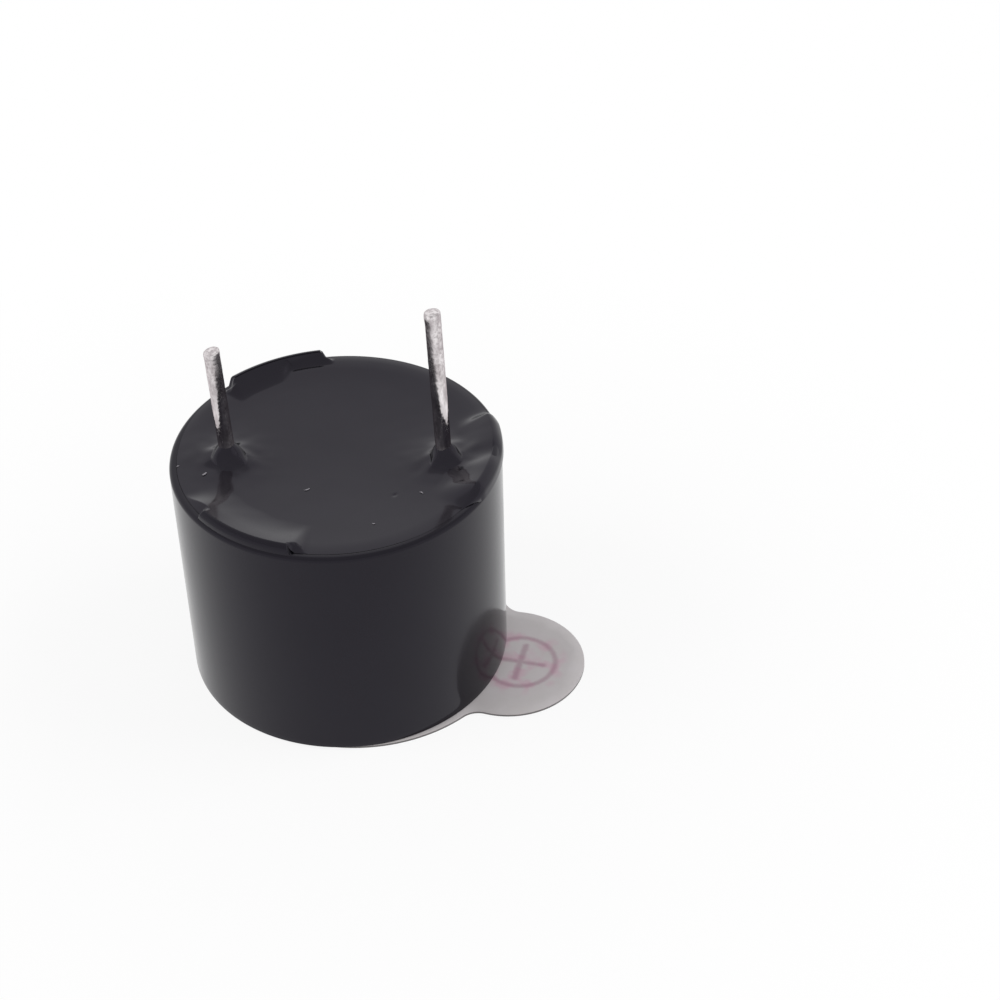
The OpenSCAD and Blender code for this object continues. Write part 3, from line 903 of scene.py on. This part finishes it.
# the cut's slope is taken up from this far below the end, over this run; a burr lies at its own
# distance below the end, this wide, and the rounded edge of the end has this radius
CUT_RUN = (0.45, 0.4)
BURR_AT = (0.2, 0.16)
END_ROUND = 0.05
# lumps and specks of the tin coat: (height, how fine round the wire, how fine along it, seed step)
COAT = ((0.008, 0.9, 1.6, 9.1), (0.004, 3.2, 9.0, 5.7))
# length in board and resin, where the wire is thinner and has no lumps, and the run where that ends
BURIED = 1.9
BURIED_THIN = 0.02
BURIED_END = 0.3
WIRE_SIDES = 64


def coat_height(x, y, along, seed):
    """How far the tin stands off the wire, at a place on a circle of radius 1 and along the wire."""
    return sum(
        high * noise.noise(Vector((x * round_it, y * round_it, along * along_it + seed * step)))
        for high, round_it, along_it, step in COAT
    )


def tinned_terminal(name, node, place, tip_z, seed, shear, material):
    """A tinned wire with a lumpy coat and a sheared end."""
    slope, downhill, dome, burr = shear
    downhill = math.radians(downhill)
    length = (tip_z - BOARD_TOP) / math.cos(PIN_LEAN)
    start = BOARD_Z + 0.05 - BOARD_TOP
    rows = [(along, 1.0) for along in stations((start, BURIED, 10), (BURIED, length - END_ROUND, 130))]
    for i in range(1, 6):
        a = math.radians(18 * i)
        rows.append((length - END_ROUND * (1 - math.sin(a)), 1 - END_ROUND / PIN_R * (1 - math.cos(a))))
    rows += [(length, share) for share in (0.72, 0.6, 0.48, 0.36, 0.24, 0.12)]
    points = []
    for along, share in rows:
        cut = smooth((along - length + CUT_RUN[0]) / CUT_RUN[1])
        clear = smooth((along - BURIED) / BURIED_END)
        ridge = burr * math.exp(-((along - length + BURR_AT[0]) / BURR_AT[1]) ** 2)
        for j in range(WIRE_SIDES):
            turn = 2 * math.pi * j / WIRE_SIDES
            x, y = math.cos(turn), math.sin(turn)
            r = PIN_R - BURIED_THIN * (1 - clear) + clear * coat_height(x, y, along, seed)
            r = (r + ridge * smooth(0.3 - x)) * share
            tilt = slope * PIN_R * share * math.cos(turn - downhill)
            crown = dome * (1 - share ** 2) + 0.008 * noise.noise(Vector((r * x * 7, r * y * 7, seed)))
            points.append((r * x, r * y, along + cut * (crown - tilt)))
    tip, root = len(points), len(points) + 1
    points += [(0.0, 0.0, length + dome), (0.0, 0.0, start)]
    faces = ring_faces(len(rows), WIRE_SIDES)
    faces += fan_faces(tip, (len(rows) - 1) * WIRE_SIDES, WIRE_SIDES)
    faces += fan_faces(root, 0, WIRE_SIDES, flip=True)
    stand = Matrix.Translation((place[0], place[1], BOARD_TOP)) @ Matrix.Rotation(PIN_LEAN, 4, "Y")
    points = [tuple(stand @ Vector(p)) for p in points]
    make_piece(name, points, faces, material, node, 60.0)


# ---- Washing film ----

# the free tab stands off what the part rests on: from how far along, over what run, by how much at
# the end of that run, and how high and how fine its waves are
TAB_FREE_FROM = 6.1
TAB_FREE_RUN = 2.75
TAB_LIFT = 0.05
TAB_WAVES = (0.012, 0.8)
# rounding of the film's cut edge, and the grid of points inside it: (step, distance from the edge)
FILM_EDGE = 0.012
GRID_STEP = 0.4
GRID_MARGIN = 0.3


def film_outline(inset):
    """Outline of the film in its own directions: along and across the tab, from the disc's middle."""
    to_disc, to_tab = FILM_R + NECK_R, TAB_R + NECK_R
    neck_x = (to_disc ** 2 - to_tab ** 2 + TAB_APART ** 2) / (2 * TAB_APART)
    neck_y = math.sqrt(to_disc ** 2 - neck_x ** 2)
    from_disc = math.degrees(math.atan2(neck_y, neck_x))
    from_tab = math.degrees(math.atan2(neck_y, neck_x - TAB_APART))
    arcs = (
        ((0.0, 0.0), FILM_R - inset, from_disc, 360 - from_disc, 180),
        ((neck_x, -neck_y), NECK_R + inset, 180 - from_disc, 180 - from_tab, 16),
        ((TAB_APART, 0.0), TAB_R - inset, -from_tab, from_tab, 110),
        ((neck_x, neck_y), NECK_R + inset, from_tab - 180, from_disc - 180, 16),
    )
    found = []
    for (x, y), r, start, end, count in arcs:
        for i in range(count):
            turn = math.radians(start + (end - start) * i / count)
            found.append((x + r * math.cos(turn), y + r * math.sin(turn)))
    return found


def film_lift(along, across):
    """How far the film stands off what the part rests on."""
    free = max(along - TAB_FREE_FROM, 0.0) / TAB_FREE_RUN
    high, fine = TAB_WAVES
    return TAB_LIFT * free ** 2 + high * free * noise.noise(Vector((along * fine, across * fine, 2.2)))


def film_grid():
    """Points inside the film on a square grid, clear of its outline."""
    tab = Vector((TAB_APART, 0))
    along, across = range(-15, 24), range(-15, 16)
    grid = [Vector((i * GRID_STEP, j * GRID_STEP)) for i in along for j in across]
    disc_r, tab_r = FILM_R - GRID_MARGIN, TAB_R - GRID_MARGIN
    return [spot for spot in grid if spot.length < disc_r or (spot - tab).length < tab_r]


def washing_film(material):
    """The film with its tab: a rounded cut edge and two flat sides, filled with triangles."""
    skirt = [(FILM_EDGE, 0.0), (0.0, FILM_EDGE), (0.0, FILM_T - FILM_EDGE), (FILM_EDGE, FILM_T)]
    points = []
    for inset, z in skirt:
        points += [(x, y, z) for x, y in film_outline(inset)]
    count = len(points) // len(skirt)
    faces = ring_faces(len(skirt), count)
    outline = [Vector(p) for p in film_outline(FILM_EDGE)]
    loop = [(i, (i + 1) % count) for i in range(count)]
    flat, _, cells, origins, _, _ = delaunay_2d_cdt(outline + film_grid(), loop, [], 1, 1e-7)
    for z, base, flip in ((0.0, 0, True), (FILM_T, (len(skirt) - 1) * count, False)):
        places = {}
        for i, p in enumerate(flat):
            on_outline = [k for k in origins[i] if k < count]
            if on_outline:
                places[i] = base + on_outline[0]
            else:
                places[i] = len(points)
                points.append((p.x, p.y, z))
        for cell in cells:
            corners = tuple(places[k] for k in cell)
            faces.append(corners[::-1] if flip else corners)
    spun = Matrix.Rotation(FILM_TURN, 4, "Z") @ Matrix.Translation((FILM_SHIFT, 0, 0))
    points = [tuple(spun @ Vector((x, y, z + film_lift(x, y)))) for x, y, z in points]
    make_piece("washing_film", points, faces, material, "washing_seal", 50.0)


# ---- Dust ----

# fibres on the resin: (x, y, direction in degrees, length, thickness), in millimetres
LINT = (
    (-4.57, -1.36, 50.0, 0.22, 0.07),
    (-5.6, -0.92, 40.0, 0.14, 0.045),
    (-0.87, -1.94, 30.0, 0.24, 0.05),
    (3.21, -2.24, -40.0, 0.16, 0.05),
    (1.63, -3.98, -20.0, 0.12, 0.045),
)
# how far a fibre bends each way, in degrees, and its rows and sides; its ends are thinner
LINT_BEND = 16
LINT_STEPS = 7
LINT_SIDES = 6


def dust():
    """Short bent fibres that lie on the resin."""
    points, faces = [], []
    for index, (x, y, way, length, thick) in enumerate(LINT):
        first = len(points)
        for i in range(LINT_STEPS):
            t = i / (LINT_STEPS - 1) * 2 - 1
            turn = math.radians(way + LINT_BEND * t * (-1) ** index)
            cx, cy = x + t * length / 2 * math.cos(turn), y + t * length / 2 * math.sin(turn)
            cz = resin_height(cx, cy) + thick * 0.35
            slim = thick / 2 * (1 - 0.75 * t * t) * (1 + 0.25 * wander(cx, cy, index, 0.06))
            for k in range(LINT_SIDES):
                spin = 2 * math.pi * k / LINT_SIDES
                side, up = slim * math.cos(spin), slim * math.sin(spin)
                points.append((cx - side * math.sin(turn), cy + side * math.cos(turn), cz + up))
        faces += [tuple(first + v for v in f) for f in ring_faces(LINT_STEPS, LINT_SIDES)]
        faces.append(tuple(first + k for k in reversed(range(LINT_SIDES))))
        faces.append(tuple(first + (LINT_STEPS - 1) * LINT_SIDES + k for k in range(LINT_SIDES)))
    make_piece("lint", points, faces, cotton_lint(), None, 80.0)


# ---- Studio ----

# within the first radius the floor is this share of plain white, and the rest is lit paper that keeps
# the shadow; beyond the second radius it is all plain white
SHADOW_R = (8.0, 30.0)
NEAR_WHITE = 0.88
# the dark roof of the tent: lean in degrees, the angles from its middle between which it fades to
# white, and its tone; and the strength of the tent's light on matt surfaces
ROOF_LEAN = 16.5
ROOF_EDGE = (49, 58)
ROOF_TONE = 0.72
TENT_FILL = 0.5
PLAIN_WHITE = (1.0, 1.0, 1.0, 1.0)


def seen_directly(tree):
    """1 for what is seen by eye, in a gloss or through glass, and 0 for light on matt surfaces."""
    path = add(tree, "LightPath")
    seen = add(
        tree,
        "Math",
        {0: path.outputs["Is Camera Ray"], 1: path.outputs["Is Glossy Ray"]},
        operation="ADD",
    )
    seen = add(
        tree,
        "Math",
        {0: seen.outputs[0], 1: path.outputs["Is Transmission Ray"]},
        operation="ADD",
        use_clamp=True,
    )
    return seen.outputs[0]


def paper_seamless_white():
    # White seamless paper: it keeps the soft shadow near the part and is plain white further off
    material, tree, place = start_material("paper_seamless_white")
    tooth = add(tree, "TexNoise", {"Vector": place, "Scale": per(3.0), "Detail": 2.0})
    colour = add(
        tree, "Mix", {0: tooth.outputs[0], 6: srgb("f3f2f3"), 7: srgb("f6f5f6")}, data_type="RGBA"
    )
    paper = add(tree, "BsdfPrincipled", {"Base Color": colour.outputs[2], "Roughness": 0.9})
    white = add(tree, "Emission", {"Color": PLAIN_WHITE, "Strength": 1.0})
    seen = seen_directly(tree)
    reach = add(tree, "VectorMath", {0: place}, operation="LENGTH")
    share = add(
        tree,
        "MapRange",
        {
            0: reach.outputs["Value"],
            1: SHADOW_R[0] * MM,
            2: SHADOW_R[1] * MM,
            3: NEAR_WHITE,
            4: 1.0,
        },
        interpolation_type="SMOOTHSTEP",
    )
    share = add(tree, "Math", {0: share.outputs[0], 1: seen}, operation="MULTIPLY")
    surface = add(tree, "MixShader", {0: share.outputs[0], 1: paper.outputs[0], 2: white.outputs[0]})
    end_material(tree, surface)
    return material


def floor():
    """A wide sheet just under the part."""
    half, drop = 900 * MM, -0.01 * MM
    mesh = bpy.data.meshes.new("floor")
    corners = [(-half, -half, drop), (half, -half, drop), (half, half, drop), (-half, half, drop)]
    mesh.from_pydata(corners, [], [(0, 1, 2, 3)])
    mesh.materials.append(paper_seamless_white())
    sheet = bpy.data.objects.new("floor", mesh)
    bpy.context.scene.collection.objects.link(sheet)


def studio_world():
    """A white tent that is bright low down, with a dark roof that leans over the camera's side."""
    world = bpy.data.worlds.new("studio")
    bpy.context.scene.world = world
    world.use_nodes = True
    tree = world.node_tree
    tree.nodes.clear()
    way = add(tree, "TexCoord").outputs["Generated"]
    lean = math.radians(ROOF_LEAN)
    roof = add(
        tree,
        "VectorMath",
        {0: way, 1: (0.0, -math.sin(lean), math.cos(lean))},
        operation="DOT_PRODUCT",
    )
    level = add(
        tree,
        "MapRange",
        {
            0: roof.outputs["Value"],
            1: math.cos(math.radians(ROOF_EDGE[1])),
            2: math.cos(math.radians(ROOF_EDGE[0])),
            3: 1.0,
            4: ROOF_TONE,
        },
        interpolation_type="SMOOTHSTEP",
    )
    tent = add(tree, "Background", {"Color": PLAIN_WHITE, "Strength": level.outputs[0]})
    fill = add(tree, "Background", {"Color": PLAIN_WHITE, "Strength": TENT_FILL})
    both = add(tree, "MixShader", {0: seen_directly(tree), 1: fill.outputs[0], 2: tent.outputs[0]})
    add(tree, "OutputWorld", {"Surface": both.outputs[0]})


def softbox(name, place, size, power):
    """A square lamp that faces the part and doesn't show in its gloss: metres and watts."""
    lamp = bpy.data.lights.new(name, "AREA")
    lamp.shape = "SQUARE"
    lamp.size = size
    lamp.energy = power
    holder = bpy.data.objects.new(name, lamp)
    holder.location = place
    aim = Vector((0, 0, 4 * MM)) - Vector(place)
    holder.rotation_euler = aim.to_track_quat("-Z", "Y").to_euler()
    holder.visible_glossy = False
    bpy.context.scene.collection.objects.link(holder)


def camera():
    """The camera's place, aim and roll, in the part's own frame."""
    place = Vector((8.409, -62.189, 57.873)) * MM
    aim = Vector((5.532, 8.44, 0.0)) * MM
    roll = math.radians(-1.442)
    lens = bpy.data.cameras.new("camera")
    lens.sensor_width = 36.0
    lens.lens = 79.06
    lens.clip_start = 0.002
    lens.clip_end = 5.0
    holder = bpy.data.objects.new("camera", lens)
    back = (place - aim).normalized()
    level = Vector((0, 0, 1)).cross(back).normalized()
    upright = back.cross(level)
    right = math.cos(roll) * level + math.sin(roll) * upright
    top = back.cross(right)
    holder.matrix_world = Matrix.Translation(place) @ Matrix((right, top, back)).transposed().to_4x4()
    bpy.context.scene.collection.objects.link(holder)
    bpy.context.scene.camera = holder


# ---- The part, and the studio round it ----

camera()
moulded_case()
cast_resin()
tin = tin_hot_dipped()
tinned_terminal("positive_pin", "positive_terminal", POSITIVE_AT, POSITIVE_TIP, 1, LONG_END, tin)
tinned_terminal("negative_pin", "negative_terminal", NEGATIVE_AT, NEGATIVE_TIP, 2, SHORT_END, tin)
washing_film(film_printed_white())
dust()
finish_hidden_nodes()
floor()
studio_world()
softbox("softbox_left", (-0.36, -0.08, 0.3), 0.24, 0.75)
softbox("softbox_right", (0.34, 0.04, 0.32), 0.24, 0.75)
bpy.context.scene.view_settings.view_transform = "Standard"
